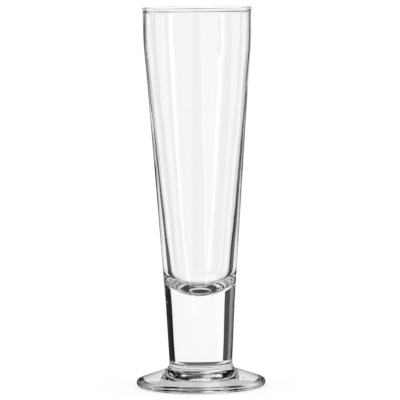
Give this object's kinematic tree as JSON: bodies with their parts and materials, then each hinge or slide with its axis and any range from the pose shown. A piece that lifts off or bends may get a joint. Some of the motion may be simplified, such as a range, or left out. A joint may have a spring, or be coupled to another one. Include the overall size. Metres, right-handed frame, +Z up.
{
  "type": "footed beer glass",
  "caption": "Tall slender footed pilsner beer glass in clear glass: tapered bowl with an upright beaded lip, solid tapered stem and a sloping round foot.",
  "frame": {"origin": "centre of the foot's resting ring, on the surface the glass stands on", "axes": "+Z up along the axis of revolution, from the foot to the rim; X and Y are alike"},
  "size_m": [0.0796, 0.0796, 0.2334],
  "materials": {
    "clear_glass": "fire-polished clear soda-lime glass"
  },
  "bodies": {
    "root": {"foot": "clear_glass", "stem": "clear_glass", "bowl": "clear_glass"}
  },
  "joints": []
}
